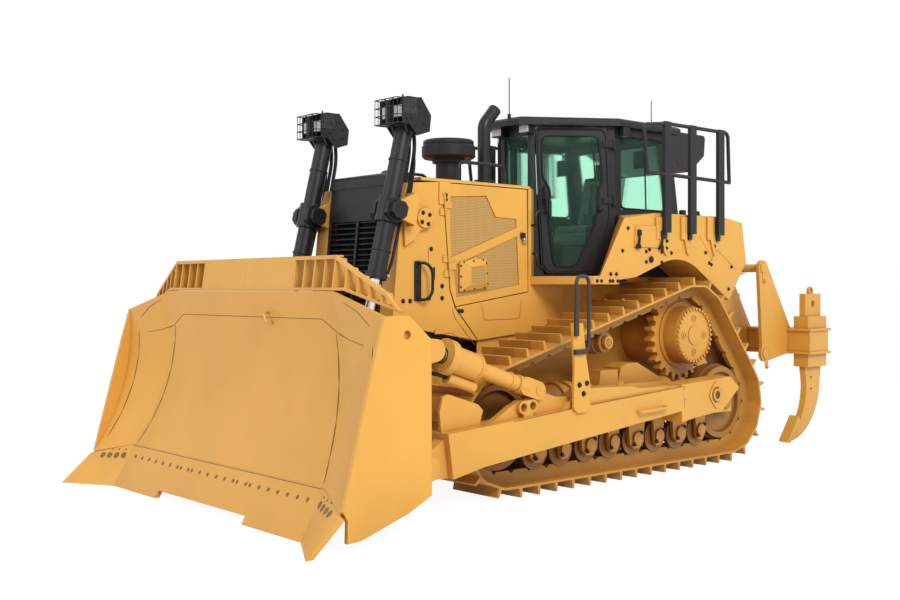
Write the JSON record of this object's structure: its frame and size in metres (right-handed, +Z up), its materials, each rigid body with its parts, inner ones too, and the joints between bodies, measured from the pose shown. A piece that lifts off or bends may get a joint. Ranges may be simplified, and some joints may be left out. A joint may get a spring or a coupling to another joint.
{
  "type": "bulldozer",
  "caption": "Large crawler tractor with a curved push blade carried on side arms, an enclosed cab, an elevated drive sprocket and a rear ripper with a lifting toolbar.",
  "frame": {"origin": "centre of the whole machine's plan, on the ground under the track shoes", "axes": "+X forward to the blade, +Y to the machine's left, +Z up"},
  "size_m": [7.756, 3.934, 3.8723],
  "materials": {
    "yellow_paint": "satin paint on sheet and castings",
    "undercarriage_paint": "satin paint on links, rollers and sprockets",
    "black_paint": "semi-gloss black paint",
    "black_plastic": "matte moulded plastic",
    "seat_fabric": "woven seat cover",
    "cab_glass": "clear tinted glazing",
    "rod_chrome": "polished chrome plate",
    "engine_iron": "cast",
    "lamp_glass": "moulded lamp"
  },
  "bodies": {
    "chassis": {"air_conditioner": "black_paint", "antennas": "black_plastic", "cab_controls": "black_plastic", "cab_floor": "yellow_paint", "cab_frame": "black_paint", "cab_roof": "black_paint", "cab_windows": "cab_glass", "drive_train": "engine_iron", "engine_block": "engine_iron", "exhaust_stack": "black_paint", "fender_left": "yellow_paint", "fender_right": "yellow_paint", "fuel_tank": "yellow_paint", "grille": "yellow_paint", "handrail_left": "black_paint", "handrail_right": "black_paint", "hood": "yellow_paint", "main_frame": "yellow_paint", "nose_cap": "yellow_paint", "nose_guard": "yellow_paint", "operator_seat": "seat_fabric", "precleaner": "black_plastic", "radiator": "black_paint", "ripper_bracket": "yellow_paint", "sprocket_left": "undercarriage_paint", "sprocket_right": "undercarriage_paint", "steering_case": "yellow_paint", "track_frame_left": "yellow_paint", "track_frame_right": "yellow_paint", "track_left": "undercarriage_paint", "track_right": "undercarriage_paint", "track_rollers_left": "undercarriage_paint", "track_rollers_right": "undercarriage_paint"},
    "push_arms": {"push_arms": "yellow_paint", "step_posts": "yellow_paint"},
    "blade": {"moldboard": "yellow_paint", "end_bits": "yellow_paint", "spill_guard": "yellow_paint", "cutting_edges": "yellow_paint"},
    "tilt_barrels": {"tilt_barrels": "yellow_paint"},
    "tilt_rods": {"tilt_rods": "rod_chrome"},
    "lift_barrels": {"lift_barrels": "black_paint", "lamp_guards": "black_paint", "headlamps": "lamp_glass"},
    "lift_rods": {"lift_rods": "rod_chrome"},
    "cab_door_left": {"cab_door_left": "black_paint", "cab_door_glass_left": "cab_glass"},
    "cab_door_right": {"cab_door_right": "black_paint", "cab_door_glass_right": "cab_glass"},
    "engine_door_left": {"engine_door_left": "yellow_paint"},
    "engine_door_right": {"engine_door_right": "yellow_paint"},
    "ripper_link": {"ripper_link": "yellow_paint"},
    "ripper_frame": {"ripper_toolbar": "yellow_paint", "ripper_shanks": "yellow_paint"},
    "pitch_cylinders": {"ripper_pitch_cylinders": "black_paint"},
    "ripper_barrels": {"ripper_barrels": "black_paint"},
    "ripper_rods": {"ripper_rods": "rod_chrome"}
  },
  "joints": [
    {"name": "blade_lift", "type": "hinge", "parent": "chassis", "child": "push_arms", "pos_m": [-1.144, 0, 0.736], "axis": [0, -1, 0], "range_deg": [-6.7, 14.3]},
    {"name": "blade_pitch", "type": "hinge", "parent": "push_arms", "child": "blade", "pos_m": [2.489, 0, 0.398], "axis": [0, -1, 0], "range_deg": [-5, 5]},
    {"name": "tilt_cylinder_swing", "type": "hinge", "parent": "push_arms", "child": "tilt_barrels", "pos_m": [1.264, 0, 0.916], "axis": [0, -1, 0], "range_deg": [-0.9, 0.9]},
    {"name": "tilt_cylinder_extend", "type": "slide", "parent": "tilt_barrels", "child": "tilt_rods", "axis": [0.9507, 0, 0.3101], "range_m": [-0.0764, 0.0764]},
    {"name": "lift_cylinder_swing", "type": "hinge", "parent": "chassis", "child": "lift_barrels", "pos_m": [2.111, 0, 2.423], "axis": [0, -1, 0], "range_deg": [-3.03, 6.45]},
    {"name": "lift_cylinder_extend", "type": "slide", "parent": "lift_barrels", "child": "lift_rods", "axis": [0.2357, 0, -0.9718], "range_m": [-0.8982, 0.4222]},
    {"name": "cab_door_left_hinge", "type": "hinge", "parent": "chassis", "child": "cab_door_left", "pos_m": [-0.6136, 0.7452, 2.9], "axis": [0, 0, 1], "range_deg": [0, 62]},
    {"name": "cab_door_right_hinge", "type": "hinge", "parent": "chassis", "child": "cab_door_right", "pos_m": [-0.6136, -0.7452, 2.9], "axis": [0, 0, -1], "range_deg": [0, 62]},
    {"name": "engine_door_left_hinge", "type": "hinge", "parent": "chassis", "child": "engine_door_left", "pos_m": [1.439, 0.624, 1.751], "axis": [0.09, 0, 0.9959], "range_deg": [-100, 0]},
    {"name": "engine_door_right_hinge", "type": "hinge", "parent": "chassis", "child": "engine_door_right", "pos_m": [1.439, -0.624, 1.751], "axis": [-0.09, 0, -0.9959], "range_deg": [-100, 0]},
    {"name": "ripper_lift", "type": "hinge", "parent": "chassis", "child": "ripper_link", "pos_m": [-2.01, 0, 0.7], "axis": [0, 1, 0], "range_deg": [-40.5, 32]},
    {"name": "toolbar_level", "type": "hinge", "parent": "ripper_link", "child": "ripper_frame", "pos_m": [-3.009, 0, 1.034], "axis": [0, 1, 0], "range_deg": [-32.15, 40.65]},
    {"name": "pitch_cylinder_swing", "type": "hinge", "parent": "chassis", "child": "pitch_cylinders", "pos_m": [-1.961, 0, 1.661], "axis": [0, 1, 0], "range_deg": [-40.65, 32.15]},
    {"name": "ripper_cylinder_swing", "type": "hinge", "parent": "chassis", "child": "ripper_barrels", "pos_m": [-2.03, 0, 1.35], "axis": [0, 1, 0], "range_deg": [-37.09, 29.34]},
    {"name": "ripper_cylinder_extend", "type": "slide", "parent": "ripper_barrels", "child": "ripper_rods", "axis": [-0.8217, 0, 0.5699], "range_m": [-0.2067, 0.1635]}
  ],
  "couplings": [
    {"joint": "tilt_cylinder_swing", "follows": "blade_pitch", "ratio": 0.1786},
    {"joint": "tilt_cylinder_extend", "follows": "blade_pitch", "m_per_rad": -0.87214},
    {"joint": "lift_cylinder_swing", "follows": "blade_lift", "ratio": 0.4494},
    {"joint": "lift_cylinder_extend", "follows": "blade_lift", "m_per_rad": -3.5881},
    {"joint": "toolbar_level", "follows": "ripper_lift", "ratio": -1},
    {"joint": "pitch_cylinder_swing", "follows": "ripper_lift", "ratio": 1},
    {"joint": "ripper_cylinder_swing", "follows": "ripper_lift", "ratio": 0.9126},
    {"joint": "ripper_cylinder_extend", "follows": "ripper_lift", "m_per_rad": 0.29139}
  ]
}
